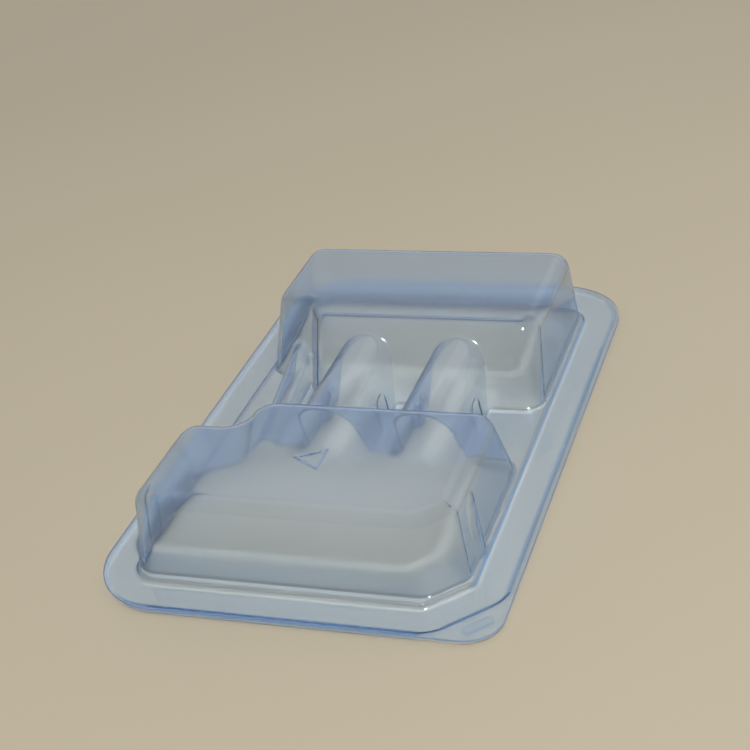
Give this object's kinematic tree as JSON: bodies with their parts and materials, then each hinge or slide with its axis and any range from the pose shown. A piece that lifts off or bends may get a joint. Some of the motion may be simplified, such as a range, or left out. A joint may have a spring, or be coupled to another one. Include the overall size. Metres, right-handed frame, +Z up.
{
  "type": "thermoformed blister tray",
  "caption": "Clear one-piece thermoformed kit tray with hollow blocks at both ends, half-round channels across the valley between them, and a raised rim with a peel tab.",
  "frame": {"origin": "middle of the trim outline, on the plane that the seal band lies on", "axes": "+X across the tray, +Y along it towards the rear block, +Z up out of the flange towards the blocks' tops"},
  "size_m": [0.11, 0.172, 0.0243],
  "materials": {
    "clear_sheet": "clear glossy, faint blue tint"
  },
  "bodies": {
    "root": {"tray": "clear_sheet"}
  },
  "joints": []
}
